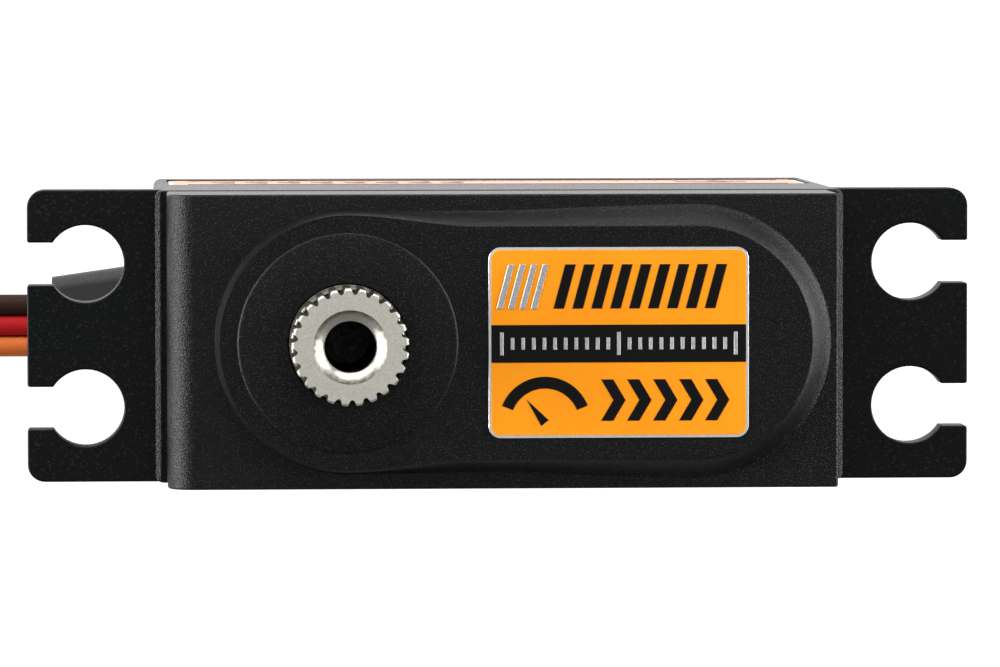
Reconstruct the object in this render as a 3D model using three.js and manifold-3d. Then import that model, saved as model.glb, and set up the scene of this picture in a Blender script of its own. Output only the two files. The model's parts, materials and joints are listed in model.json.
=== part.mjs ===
// Mini metal-gear servo motor. Millimetres, +Z up.
// Origin: centre of the case's bottom face. -X is the output-shaft end, where the lead leaves.
import * as THREE from 'three';
import { mergeVertices } from 'three/addons/utils/BufferGeometryUtils.js';
import Module from 'manifold-3d';

const wasm = await Module();
wasm.setup();

// ---------- driving dimensions ----------
const CASE = { halfX: 17.8, halfY: 7.55, wall: 0.9, corner: 0.4 };
const TOP = { x0: -17.2, x1: 16.95, halfY: 7.5, wall: 0.95, fillet: 1.4 };
const Z = {
  coverTop: 2.4, // joint between the bottom cover and the middle case
  deckLow: 18.6,
  deckTop: 19.9,
  seam: 21.4, // joint between the middle case and the top case
  roof: 26.2, // underside of the top case's main face
  topFace: 27.2,
  bossTop: 28.5,
  splineTop: 32.3,
};
const FLANGE = {
  tip: 24.4,
  low: 18.4,
  top: 20.4,
  corner: 0.9,
  holeX: 21.4,
  holeY: 3.73,
  holeR: 2.0,
  slot: 2.2, // width of each hole's open mouth
};
const POST = { x: 15.1, y: 5.5, r: 1.4, hole: 0.95, thread: 0.9, headR: 1.5 };
const OUTPUT = { x: -8.1, y: 0 };
const MOTOR = { x: 10.058, y: 0, r: 5.9, low: 6.2, top: 18.5, pilotR: 2.0, screwX: 2.09, screwY: 2.93 };
const POT = { r: 4.8, low: 8.8, top: 16.0 };
const BOARD = { low: 2.6, top: 3.4, halfX: 16.4, halfY: 6.3 };
const STOP_TRAVEL = 90; // degrees each way before the lug meets the stop block
const PRESSURE_ANGLE = (20 * Math.PI) / 180;
const TOOTH_THINNING = 0.03; // backlash taken from each tooth
const PIN_R = 0.5;
const PIN_LOW = 19.0;
const PIN_TOP = 26.3;

// Lead: three bonded wires, a flat ribbon that is wound into a hank on its edge.
const WIRE = 1.12;
const LEAD_Y = -0.25;
const LEAD_Z = 4.2;
const TIE_THICKNESS = 0.3;
const HANK = {
  nearX: -43.5, // centre of the hank's end turn nearest the case
  farX: -61.5,
  endR: 3.5, // radius of the innermost half turn
  pitch: 1.15,
  halfTurns: 5,
  joinX: -41.3, // where the run from the case becomes the outer turn
};
const PLUG = { x0: -52.3, x1: -38.3, halfY: 3.85, z0: 3.75, z1: 6.35, pitch: 2.54 };

// ---------- materials ----------
const finish = (color, roughness, metalness = 0) =>
  new THREE.MeshStandardMaterial({ color, roughness, metalness, flatShading: true });
const nylonBlack = finish(0x242625, 0.55);
const steelBlack = finish(0x2b2c2e, 0.45, 0.8);
const steelBright = finish(0xc4c6c8, 0.3, 1);
const nickelSteel = finish(0xb9b4a6, 0.32, 1);
const brass = finish(0xb89a55, 0.35, 1);
const canSteel = finish(0x8d9093, 0.35, 1);
const copper = finish(0x9a5a34, 0.4, 1);
const magnetGrey = finish(0x3a3a3d, 0.6, 0.3);
const creamPlastic = finish(0xd8d2bd, 0.5);
const boardGreen = finish(0x1d5a37, 0.45);
const chipBlack = finish(0x17181a, 0.4);
const tantalum = finish(0xd29a2c, 0.45);
const tin = finish(0xbfc1bd, 0.35, 1);
const labelOrange = finish(0xfb9e21, 0.35);
const rubberBlack = finish(0x1a1a1b, 0.75);
const wireBrown = finish(0x4a2a1c, 0.5);
const wireRed = finish(0xa8171a, 0.45);
const wireOrange = finish(0xd07038, 0.45);
const plugBlack = finish(0x161617, 0.5);

// ---------- geometry helpers ----------
function closed(geometry) {
  const bare = geometry.clone();
  bare.deleteAttribute('normal');
  bare.deleteAttribute('uv');
  return mergeVertices(bare, 1e-5);
}

function toSolid(geometry) {
  const merged = closed(geometry);
  return new wasm.Manifold(
    new wasm.Mesh({
      numProp: 3,
      vertProperties: new Float32Array(merged.attributes.position.array),
      triVerts: new Uint32Array(merged.index.array),
    }),
  );
}

function toGeometry(solid) {
  const mesh = solid.getMesh();
  const geometry = new THREE.BufferGeometry();
  geometry.setAttribute('position', new THREE.BufferAttribute(new Float32Array(mesh.vertProperties), 3));
  geometry.setIndex(new THREE.BufferAttribute(new Uint32Array(mesh.triVerts), 1));
  return geometry;
}

const join = (...parts) => toGeometry(parts.map(toSolid).reduce((a, b) => a.add(b)));
const cut = (base, ...tools) => toGeometry(tools.map(toSolid).reduce((a, b) => a.subtract(b), toSolid(base)));

function plate(shape, z0, z1, segments = 8) {
  const geometry = new THREE.ExtrudeGeometry(shape, {
    depth: z1 - z0,
    bevelEnabled: false,
    curveSegments: segments,
  });
  return geometry.translate(0, 0, z0);
}

function box(x0, x1, y0, y1, z0, z1) {
  const geometry = new THREE.BoxGeometry(x1 - x0, y1 - y0, z1 - z0);
  return geometry.translate((x0 + x1) / 2, (y0 + y1) / 2, (z0 + z1) / 2);
}

function rod(x, y, z0, z1, r, segments = 20, rTop = r) {
  const geometry = new THREE.CylinderGeometry(rTop, r, z1 - z0, segments);
  return geometry.rotateX(Math.PI / 2).translate(x, y, (z0 + z1) / 2);
}

function tube(x, y, z0, z1, inner, outer, segments = 28) {
  const profile = [
    [inner, z0],
    [outer, z0],
    [outer, z1],
    [inner, z1],
    [inner, z0],
  ].map(([r, z]) => new THREE.Vector2(r, z));
  const geometry = new THREE.LatheGeometry(profile, segments);
  return geometry.rotateX(Math.PI / 2).translate(x, y, 0);
}

function roundedRect(x0, x1, y0, y1, r) {
  const shape = new THREE.Shape();
  shape.absarc(x1 - r, y0 + r, r, -Math.PI / 2, 0);
  shape.absarc(x1 - r, y1 - r, r, 0, Math.PI / 2);
  shape.absarc(x0 + r, y1 - r, r, Math.PI / 2, Math.PI);
  shape.absarc(x0 + r, y0 + r, r, Math.PI, 1.5 * Math.PI);
  shape.closePath();
  return shape;
}

// A sector of a ring about the origin, angles in degrees.
function sector(inner, outer, from, to) {
  const a = THREE.MathUtils.degToRad(from);
  const b = THREE.MathUtils.degToRad(to);
  const shape = new THREE.Shape();
  shape.absarc(0, 0, outer, a, b, false);
  shape.absarc(0, 0, inner, b, a, true);
  shape.closePath();
  return shape;
}

// Skins a closed body through rings that all have the same number of points.
function loft(rings) {
  const count = rings[0].length;
  const last = rings.length - 1;
  const position = rings.flat().flatMap((p) => [p.x, p.y, p.z]);
  const index = [];
  for (let ring = 0; ring < last; ring += 1) {
    for (let i = 0; i < count; i += 1) {
      const a = ring * count + i;
      const b = ring * count + ((i + 1) % count);
      index.push(a, b, b + count, a, b + count, a + count);
    }
  }
  for (let i = 1; i < count - 1; i += 1) {
    index.push(0, i + 1, i);
    index.push(last * count, last * count + i, last * count + i + 1);
  }
  const geometry = new THREE.BufferGeometry();
  geometry.setAttribute('position', new THREE.Float32BufferAttribute(position, 3));
  geometry.setIndex(index);
  return geometry;
}

const group = new THREE.Group();
function add(name, geometry, material, x = 0, y = 0, z = 0, turn = 0) {
  const mesh = new THREE.Mesh(geometry, material);
  mesh.name = name;
  mesh.position.set(x, y, z);
  mesh.rotation.z = turn;
  group.add(mesh);
}

const corners = [
  [-1, -1],
  [1, -1],
  [1, 1],
  [-1, 1],
];

// ---------- gear layout ----------
// Each stage is a wheel under a pinion on a fixed pin, climbing from the motor to the output gear.
const STAGES = {
  gear_1: { x: 6.308, y: 2.75, wheel: [22, 20.3, 21.0], pinion: [9, 22.1], module: 0.3, pinionModule: 0.3 },
  gear_2: { x: 3.249, y: -1.7, wheel: [27, 21.3, 22.0], pinion: [9, 23.0], module: 0.3, pinionModule: 0.3 },
  gear_3: { x: -0.588, y: 2.1, wheel: [27, 22.2, 22.9], pinion: [10, 25.0], module: 0.3, pinionModule: 0.4 },
};
const MOTOR_PINION = { teeth: 9, module: 0.3, low: 20.2, top: 21.2 };
const OUTPUT_GEAR = { teeth: 29, module: 0.4, low: 23.1, top: 25.1 };
const SHIFT = 0.4; // profile shift: plus on pinions, minus on wheels
const HUB_LOW = 19.95;

const involute = (angle) => Math.tan(angle) - angle;

// Outline of an involute spur gear about the origin, with a tooth centred on +X.
function gearOutline(teeth, module, shift) {
  const pitchR = (teeth * module) / 2;
  const baseR = pitchR * Math.cos(PRESSURE_ANGLE);
  const tipR = pitchR + module * (0.9 + shift);
  const rootR = pitchR - module * (1.2 - shift);
  const halfPitch =
    Math.PI / (2 * teeth) + (2 * shift * Math.tan(PRESSURE_ANGLE)) / teeth - TOOTH_THINNING / (2 * pitchR);
  const halfAt = (r) => halfPitch + involute(PRESSURE_ANGLE) - involute(Math.acos(Math.min(1, baseR / r)));
  const flank = teeth > 12 ? [rootR, tipR] : [rootR, pitchR, tipR];
  const points = [];
  for (let tooth = 0; tooth < teeth; tooth += 1) {
    const centre = (tooth * 2 * Math.PI) / teeth;
    const side = (r, sign) => {
      const angle = centre + sign * halfAt(Math.max(r, baseR));
      points.push(new THREE.Vector2(r * Math.cos(angle), r * Math.sin(angle)));
    };
    flank.forEach((r) => side(r, -1));
    [...flank].reverse().forEach((r) => side(r, 1));
  }
  return points;
}

function gearPlate(teeth, module, shift, z0, z1) {
  return plate(new THREE.Shape(gearOutline(teeth, module, shift)), z0, z1);
}

// The turn that a gear needs so that its gap faces a tooth of the gear that it meshes with.
function matingTurn(from, to, turn, teeth, otherTeeth) {
  const direction = Math.atan2(to.y - from.y, to.x - from.x);
  const phase = 0.5 - ((direction - turn) * teeth) / (2 * Math.PI);
  return direction + Math.PI - (phase * 2 * Math.PI) / otherTeeth;
}

// ---------- bottom cover ----------
function bottomCase() {
  const { halfX, halfY, wall, corner } = CASE;
  const outer = plate(roundedRect(-halfX, halfX, -halfY, halfY, corner), 0, Z.coverTop, 1);
  const inX = halfX - wall;
  const inY = halfY - wall;
  const floor = 1.2;
  const sink = 1.2; // depth that the screw heads are sunk
  const tray = cut(outer, box(-inX, inX, -inY, inY, floor, Z.coverTop + 1));
  const posts = corners.map(([sx, sy]) => rod(sx * POST.x, sy * POST.y, 0.1, Z.coverTop, 2.0, 12));
  const boardPads = corners.map(([sx, sy]) => rod(sx * 9.5, sy * 5.2, 0.5, BOARD.low, 0.8, 8));
  const bores = corners.flatMap(([sx, sy]) => [
    rod(sx * POST.x, sy * POST.y, -1, sink, POST.headR + 0.1, 16),
    rod(sx * POST.x, sy * POST.y, 1, Z.coverTop + 1, POST.hole, 12),
  ]);
  return cut(join(tray, ...posts, ...boardPads), ...bores);
}

// ---------- middle case with the mounting flanges ----------
// One tongue past the case's +X end, with two open C-slots.
function flangeEnd() {
  const { tip, corner, holeX, holeY, holeR, slot } = FLANGE;
  const mouth = Math.asin(slot / 2 / holeR);
  const root = CASE.halfX - 1.5;
  const shape = new THREE.Shape();
  shape.moveTo(root, -CASE.halfY);
  shape.lineTo(tip - corner, -CASE.halfY);
  shape.absarc(tip - corner, -CASE.halfY + corner, corner, -Math.PI / 2, 0);
  for (const y of [-holeY, holeY]) {
    shape.lineTo(tip, y - slot / 2);
    shape.absarc(holeX, y, holeR, -mouth, mouth, true);
    shape.lineTo(tip, y + slot / 2);
  }
  shape.absarc(tip - corner, CASE.halfY - corner, corner, 0, Math.PI / 2);
  shape.lineTo(root, CASE.halfY);
  shape.closePath();
  return plate(shape, FLANGE.low, FLANGE.top, 6);
}

const GROMMET = { y: LEAD_Y, neckHalfY: 2.25, neckTop: 5.25, tipX: -23.3 };
GROMMET.wallSpan = [-2.45, 3.2]; // either side of the lead: the +Y cheek is the thicker one
GROMMET.tipSpan = [-2.2, 2.6];
const SIDE_LABEL = { halfX: 17.0, z0: 2.8, z1: 11.4, depth: 0.1, gap: 0.1, corner: 1.0 };
const STOP = { inner: 2.45, outer: 4.9, low: 20.1, top: 22.9, lugHalf: 8, clearance: 1 }; // angles in degrees
const LOWER_BEARING = { low: 18.1, top: 20.1, inner: 2.0, outer: 4.0 };
const UPPER_BEARING = { low: 25.3, top: 27.8, inner: 3.02, outer: 5.0 };

function middleCase() {
  const { halfX, halfY, wall, corner } = CASE;
  const inX = halfX - wall;
  const inY = halfY - wall;
  const outer = plate(roundedRect(-halfX, halfX, -halfY, halfY, corner), Z.coverTop, Z.seam, 1);
  const shell = cut(
    join(outer, flangeEnd(), flangeEnd().rotateZ(Math.PI)),
    box(-inX, inX, -inY, inY, 0, Z.deckLow),
    box(-inX, inX, -inY, inY, Z.deckTop, Z.seam + 1),
  );
  const posts = corners.map(([sx, sy]) => rod(sx * POST.x, sy * POST.y, Z.coverTop, Z.seam, POST.r, 12));
  const potPocket = tube(OUTPUT.x, OUTPUT.y, 13.5, Z.deckLow + 0.5, 4.95, 5.55);
  const bearingBoss = tube(OUTPUT.x, OUTPUT.y, 17.7, 20.2, 4.05, 5.05);
  const halfStop = 180 - STOP_TRAVEL - STOP.lugHalf - STOP.clearance;
  const block = plate(sector(STOP.inner, STOP.outer, 180 - halfStop, 180 + halfStop), STOP.low, STOP.top, 8);
  const body = join(
    cut(join(shell, ...posts, potPocket), rod(OUTPUT.x, OUTPUT.y, 17, 20.5, 4.5, 28)),
    bearingBoss,
    block.translate(OUTPUT.x, OUTPUT.y, 0),
  );
  const screwHoles = corners.map(([sx, sy]) => rod(sx * POST.x, sy * POST.y, 0, 30, POST.hole, 10));
  const stages = Object.values(STAGES);
  const pinSockets = stages.map((stage) => rod(stage.x, stage.y, PIN_LOW - 0.05, 20.5, PIN_R + 0.05, 10));
  const motorHoles = [-1, 1].map((s) =>
    rod(MOTOR.x + s * MOTOR.screwX, s * MOTOR.screwY, 18, 20.5, 0.85, 10),
  );
  const pilot = rod(MOTOR.x, MOTOR.y, 18, 20.5, MOTOR.pilotR + 0.1);
  const { y, neckHalfY, neckTop } = GROMMET;
  const notch = box(-halfX - 1, -halfX + 1.4, y - neckHalfY, y + neckHalfY, 1, neckTop);
  const { gap, depth, z0, z1 } = SIDE_LABEL;
  const recessX = SIDE_LABEL.halfX + gap;
  const recess = box(-recessX, recessX, halfY - depth, halfY + 1, z0 - gap, z1 + gap);
  return cut(body, ...screwHoles, ...pinSockets, ...motorHoles, pilot, notch, recess);
}

// ---------- top case ----------
const RAISED = { rightX: 9.6, waistX: -1.4 };
const smooth = (t) => t * t * (3 - 2 * t);

// Outline of the raised platform: a large round end about the output shaft, a waist, and a round far end.
function platformRing(z, leftR, rightR, halfWidth, count = 8) {
  const ring = [];
  const put = (x, y) => ring.push(new THREE.Vector3(x, y, z));
  const side = (sign) => {
    for (let i = 1; i < count; i += 1) {
      const along = sign < 0 ? i / count : 1 - i / count;
      const x = OUTPUT.x + along * (RAISED.rightX - OUTPUT.x);
      put(x, sign * halfWidth(x));
    }
  };
  for (let i = 0; i <= 2 * count; i += 1) {
    const angle = Math.PI / 2 + (i / (2 * count)) * Math.PI;
    put(OUTPUT.x + leftR * Math.cos(angle), leftR * Math.sin(angle));
  }
  side(-1);
  for (let i = 0; i <= 2 * count; i += 1) {
    const angle = -Math.PI / 2 + (i / (2 * count)) * Math.PI;
    put(RAISED.rightX + rightR * Math.cos(angle), rightR * Math.sin(angle));
  }
  side(1);
  return ring;
}

function raisedPlatform() {
  const foot = { left: 6.85, waist: 6.6, right: 7.0 };
  const head = { left: 6.45, waist: 5.86, right: 5.86 };
  const { waistX, rightX } = RAISED;
  const between = (a, b, share) => a + smooth(share) * (b - a);
  const width = (end) => (x) =>
    x < waistX
      ? between(end.left, end.waist, (x - OUTPUT.x) / (waistX - OUTPUT.x))
      : between(end.waist, end.right, (x - waistX) / (rightX - waistX));
  // Share of the way from foot to head, against height: a cove at the foot and a rounded brow.
  const profile = [
    [-0.5, 0],
    [0, 0],
    [0.25, 0.2],
    [0.65, 0.48],
    [0.95, 0.74],
    [1, 1],
  ];
  const rise = Z.bossTop - Z.topFace;
  return loft(
    profile.map(([up, inward]) => {
      const blend = (key) => foot[key] + inward * (head[key] - foot[key]);
      const end = { left: blend('left'), waist: blend('waist'), right: blend('right') };
      return platformRing(Z.topFace + up * rise, end.left, end.right, width(end));
    }),
  );
}

function topCase() {
  const { x0, x1, halfY, wall, fillet } = TOP;
  const profile = new THREE.Shape();
  profile.moveTo(x0, Z.seam);
  profile.lineTo(x1, Z.seam);
  profile.lineTo(x1, Z.topFace);
  profile.absarc(x0 + fillet, Z.topFace - fillet, fillet, Math.PI / 2, Math.PI);
  profile.closePath();
  const block = plate(profile, -halfY, halfY, 4).rotateX(Math.PI / 2);
  const inY = halfY - wall;
  const hollow = cut(
    join(block, raisedPlatform()),
    box(x0 + 1.2, x1 - wall, -inY, inY, Z.seam - 1, Z.roof),
    box(-1.6, 13.6, -4.6, 4.6, Z.roof - 1, 27.4),
  );
  const posts = corners.map(([sx, sy]) => rod(sx * POST.x, sy * POST.y, Z.seam, Z.roof + 0.4, POST.r, 12));
  const stages = Object.values(STAGES);
  const pinBosses = stages.map((stage) => rod(stage.x, stage.y, stage.pinion[1] + 0.2, 27.6, 1.0, 10));
  const bearingSeat = rod(OUTPUT.x, OUTPUT.y, UPPER_BEARING.low, Z.roof + 0.4, 6.0, 32);
  const filled = join(hollow, ...posts, ...pinBosses, bearingSeat);
  return cut(
    filled,
    rod(OUTPUT.x, OUTPUT.y, 20, UPPER_BEARING.top + 0.05, UPPER_BEARING.outer + 0.05, 32),
    rod(OUTPUT.x, OUTPUT.y, 20, 30, 3.2, 28),
    ...stages.map((stage) => rod(stage.x, stage.y, 20, PIN_TOP + 0.2, PIN_R + 0.06, 10)),
    ...corners.map(([sx, sy]) => rod(sx * POST.x, sy * POST.y, 20, 25.2, POST.thread, 10)),
  );
}

// ---------- fasteners and labels ----------
// Cross-head screw, head down at z = 0.
function screw(headR, headHeight, shankR, length) {
  const head = rod(0, 0, 0, headHeight, headR, 16);
  const shank = rod(0, 0, headHeight - 0.1, headHeight + length, shankR, 10);
  const slot = headR * 1.2;
  const recess = [
    box(-slot / 2, slot / 2, -0.2, 0.2, -1, 0.5),
    box(-0.2, 0.2, -slot / 2, slot / 2, -1, 0.5),
  ];
  return cut(join(head, shank), ...recess);
}

add('bottom_case', bottomCase(), nylonBlack);
add('middle_case', middleCase(), nylonBlack);
add('top_case', topCase(), nylonBlack);
corners.forEach(([sx, sy], i) => {
  add(`case_screw_${i + 1}`, screw(POST.headR, 0.9, 0.8, 23.6), steelBlack, sx * POST.x, sy * POST.y, 0.25);
});
[-1, 1].forEach((s, i) => {
  const flipped = screw(1.2, 0.8, 0.7, 2.0).rotateX(Math.PI);
  const name = `motor_screw_${i + 1}`;
  add(name, flipped, steelBright, MOTOR.x + s * MOTOR.screwX, s * MOTOR.screwY, Z.deckTop + 0.8);
});

const TOP_LABEL = { x: 5.62, halfX: 6.6, halfY: 4.83, corner: 0.6, thickness: 0.1 };
add(
  'top_label',
  plate(
    roundedRect(-TOP_LABEL.halfX, TOP_LABEL.halfX, -TOP_LABEL.halfY, TOP_LABEL.halfY, TOP_LABEL.corner),
    0,
    TOP_LABEL.thickness,
    3,
  ),
  labelOrange,
  TOP_LABEL.x,
  0,
  Z.bossTop,
);
const sideSheet = plate(
  roundedRect(-SIDE_LABEL.halfX, SIDE_LABEL.halfX, SIDE_LABEL.z0, SIDE_LABEL.z1, SIDE_LABEL.corner),
  0,
  SIDE_LABEL.depth,
  3,
);
add('side_label', sideSheet.rotateX(Math.PI / 2), labelOrange, 0, CASE.halfY, 0);

// ---------- output shaft and its bearings ----------
const SPLINE = { teeth: 25, tipR: 2.96, rootR: 2.64, turn: 5.6, low: 28.9 };

function splineRing(z) {
  const ring = [];
  for (let tooth = 0; tooth < SPLINE.teeth; tooth += 1) {
    for (const [share, r] of [
      [-0.42, SPLINE.rootR],
      [-0.1, SPLINE.tipR],
      [0.1, SPLINE.tipR],
      [0.42, SPLINE.rootR],
    ]) {
      const angle = ((tooth + share) * 2 * Math.PI) / SPLINE.teeth + THREE.MathUtils.degToRad(SPLINE.turn);
      ring.push(new THREE.Vector3(r * Math.cos(angle), r * Math.sin(angle), z));
    }
  }
  return ring;
}

// The shaft from the potentiometer up to the spline. Only the tooth plate is turned into mesh:
// the stop lug, the flat for the potentiometer and the spline keep their places.
function outputGear(toothTurn) {
  const { teeth, module, low, top } = OUTPUT_GEAR;
  const spline = loft([splineRing(SPLINE.low - 0.1), splineRing(Z.splineTop)]);
  const dShaft = cut(rod(0, 0, 12.6, 16.4, 1.4), box(0.95, 3, -3, 3, 10, 16.2));
  const lug = plate(sector(2.3, 3.3, -STOP.lugHalf, STOP.lugHalf), 22.2, 23.3, 3);
  const body = join(
    gearPlate(teeth, module, -SHIFT, low, top).rotateZ(toothTurn),
    dShaft,
    rod(0, 0, 16.2, 23.5, 1.97),
    lug,
    rod(0, 0, 25, 25.3, 3.4, 24),
    rod(0, 0, 25.1, 28.5, 2.97, 24),
    rod(0, 0, 28.4, SPLINE.low, 3.02, 32),
    spline,
  );
  return cut(body, rod(0, 0, 24.3, 33, 1.25), rod(0, 0, 31.8, 32.4, 1.2, 20, 1.95));
}

function ballCage(pitchR, ballR, count, height) {
  const balls = [];
  for (let i = 0; i < count; i += 1) {
    const angle = (i * 2 * Math.PI) / count;
    const ball = new THREE.SphereGeometry(ballR, 6, 3).rotateX(Math.PI / 2);
    balls.push(ball.translate(pitchR * Math.cos(angle), pitchR * Math.sin(angle), 0));
  }
  return join(tube(0, 0, -height / 2, height / 2, pitchR - 0.2, pitchR + 0.2, 20), ...balls);
}

function addBearing(name, spec, ring, pitchR, ballR, count) {
  const { low, top, inner, outer } = spec;
  const middle = (low + top) / 2;
  add(`${name}_outer_ring`, tube(0, 0, low, top, outer - ring, outer, 32), steelBright, OUTPUT.x, OUTPUT.y);
  add(`${name}_inner_ring`, tube(0, 0, low, top, inner, inner + ring, 28), steelBright, OUTPUT.x, OUTPUT.y);
  add(`${name}_ball_cage`, ballCage(pitchR, ballR, count, 0.6), steelBright, OUTPUT.x, OUTPUT.y, middle);
}

const stage1 = STAGES.gear_1;
const stage2 = STAGES.gear_2;
const stage3 = STAGES.gear_3;
const turns = {};
turns.gear_1 = matingTurn(MOTOR, stage1, 0, MOTOR_PINION.teeth, stage1.wheel[0]);
turns.gear_2 = matingTurn(stage1, stage2, turns.gear_1, stage1.pinion[0], stage2.wheel[0]);
turns.gear_3 = matingTurn(stage2, stage3, turns.gear_2, stage2.pinion[0], stage3.wheel[0]);
const outputTurn = matingTurn(stage3, OUTPUT, turns.gear_3, stage3.pinion[0], OUTPUT_GEAR.teeth);

add('output_gear', outputGear(outputTurn), nickelSteel, OUTPUT.x, OUTPUT.y);
addBearing('upper_bearing', UPPER_BEARING, 0.5, 4.01, 0.42, 9);
addBearing('lower_bearing', LOWER_BEARING, 0.5, 3.0, 0.42, 7);

// ---------- gear train ----------
function idler(stage) {
  const hubR = 0.92;
  const [teeth, low, top] = stage.wheel;
  const [pinionTeeth, pinionTop] = stage.pinion;
  const body = join(
    gearPlate(teeth, stage.module, -SHIFT, low, top),
    gearPlate(pinionTeeth, stage.pinionModule, SHIFT, low + 0.1, pinionTop),
    rod(0, 0, HUB_LOW, low + 0.1, hubR, 16),
  );
  return cut(body, rod(0, 0, HUB_LOW - 1, pinionTop + 1, PIN_R + 0.08, 12));
}

Object.entries(STAGES).forEach(([name, stage], i) => {
  add(name, idler(stage), i === 2 ? steelBright : brass, stage.x, stage.y, 0, turns[name]);
  add(`gear_pin_${i + 1}`, rod(0, 0, PIN_LOW, PIN_TOP, PIN_R, 12), steelBright, stage.x, stage.y);
});

// ---------- motor ----------
function motorCan() {
  const { low, top, r, pilotR, screwX, screwY } = MOTOR;
  return cut(
    join(rod(0, 0, low, top, r, 28), rod(0, 0, top - 0.1, 19.2, pilotR)),
    rod(0, 0, 0, top - 0.7, r - 0.5, 28),
    rod(0, 0, 17, 20, 0.65, 16),
    ...[-1, 1].map((s) => rod(s * screwX, s * screwY, 17, 19, 0.8, 16)),
  );
}

function motorArmature() {
  const shoes = [];
  for (let pole = 0; pole < 3; pole += 1) {
    const shoe = plate(sector(3.5, 4.2, -45, 45), 9, 15.5, 4);
    const neck = box(0.5, 3.6, -0.8, 0.8, 9.01, 15.49);
    const winding = box(1.7, 3.3, -1.45, 1.45, 8.4, 16.1);
    shoes.push(...[shoe, neck, winding].map((piece) => piece.rotateZ((pole * 2 * Math.PI) / 3)));
  }
  return cut(join(rod(0, 0, 9, 15.5, 1.7), ...shoes), rod(0, 0, 0, 20, 0.56, 16));
}

const endCapLow = 4.6;
add('motor_can', motorCan(), canSteel, MOTOR.x, MOTOR.y);
add(
  'motor_end_cap',
  cut(
    join(rod(0, 0, endCapLow, MOTOR.low, MOTOR.r, 28), rod(0, 0, MOTOR.low - 0.1, 7.0, 5.25, 24)),
    rod(0, 0, 5.1, 8, 0.62, 16),
  ),
  creamPlastic,
  MOTOR.x,
  MOTOR.y,
);
add('motor_shaft', rod(0, 0, 5.2, 21.4, PIN_R, 16), steelBright, MOTOR.x, MOTOR.y);
add('motor_armature', motorArmature(), copper, MOTOR.x, MOTOR.y, 0, Math.PI / 6);
add('motor_commutator', tube(0, 0, 7.1, 8.2, 0.56, 1.3, 16), copper, MOTOR.x, MOTOR.y);
const motorPinion = cut(
  gearPlate(MOTOR_PINION.teeth, MOTOR_PINION.module, SHIFT, MOTOR_PINION.low, MOTOR_PINION.top),
  rod(0, 0, 19, 22, PIN_R + 0.03, 16),
);
add('motor_pinion', motorPinion, brass, MOTOR.x, MOTOR.y);
[1, -1].forEach((side, i) => {
  const arc = sector(4.55, 5.3, -60, 60);
  add(`motor_magnet_${i + 1}`, plate(arc, 8.5, 16.5, 5), magnetGrey, MOTOR.x, 0, 0, (side * Math.PI) / 2);
  const brushTurn = side > 0 ? 0 : Math.PI;
  add(`motor_brush_${i + 1}`, box(1.4, 3.9, -0.4, 0.4, 7.0, 7.9), copper, MOTOR.x, 0, 0, brushTurn);
  add(`motor_terminal_${i + 1}`, box(-0.4, 0.4, -0.15, 0.15, BOARD.top, endCapLow), tin, MOTOR.x, side * 4.4);
});

// ---------- feedback potentiometer ----------
add(
  'pot_housing',
  cut(
    rod(0, 0, POT.low, POT.top, POT.r, 24),
    rod(0, 0, 0, POT.top - 0.6, POT.r - 0.6, 24),
    rod(0, 0, 10, 20, 1.8),
  ),
  canSteel,
  OUTPUT.x,
  OUTPUT.y,
);
add('pot_plate', rod(0, 0, 8.0, POT.low, POT.r, 24), creamPlastic, OUTPUT.x, OUTPUT.y);
const potSocket = cut(rod(0, 0, 12.4, 16, 1.5), box(1.03, 3, -3, 3, 10, 17));
const potRotor = cut(join(rod(0, 0, 10.5, 11.5, 3.8, 20), rod(0, 0, 11.4, 15.1, 2.2)), potSocket);
add('pot_rotor', potRotor, creamPlastic, OUTPUT.x, OUTPUT.y);
[-1, 0, 1].forEach((side, i) => {
  const pin = box(-0.15, 0.15, -0.25, 0.25, BOARD.top, 8.0);
  add(`pot_pin_${i + 1}`, pin, tin, OUTPUT.x + 3.4, side * 2.5);
});

// ---------- control board ----------
function boardShape() {
  const notchX = 13.3;
  const notchY = 3.8;
  const quarter = [
    [BOARD.halfX, notchY],
    [notchX, notchY],
    [notchX, BOARD.halfY],
  ];
  const points = [
    ...quarter,
    ...[...quarter].reverse().map(([x, y]) => [-x, y]),
    ...quarter.map(([x, y]) => [-x, -y]),
    ...[...quarter].reverse().map(([x, y]) => [x, -y]),
  ];
  return new THREE.Shape(points.map(([x, y]) => new THREE.Vector2(x, y)));
}

const chip = (sizeX, sizeY, height) => box(-sizeX / 2, sizeX / 2, -sizeY / 2, sizeY / 2, 0, height);
add('control_board', plate(boardShape(), BOARD.low, BOARD.top), boardGreen);
add('microcontroller', chip(5, 5, 0.9), chipBlack, -0.8, 0, BOARD.top);
add('motor_driver_1', chip(4.9, 3.9, 0.95), chipBlack, 6.6, 2.2, BOARD.top);
add('motor_driver_2', chip(4.9, 3.9, 0.95), chipBlack, 6.6, -2.2, BOARD.top);
add('capacitor', chip(3.5, 2.8, 1.9), tantalum, -0.4, -4.6, BOARD.top);

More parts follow.
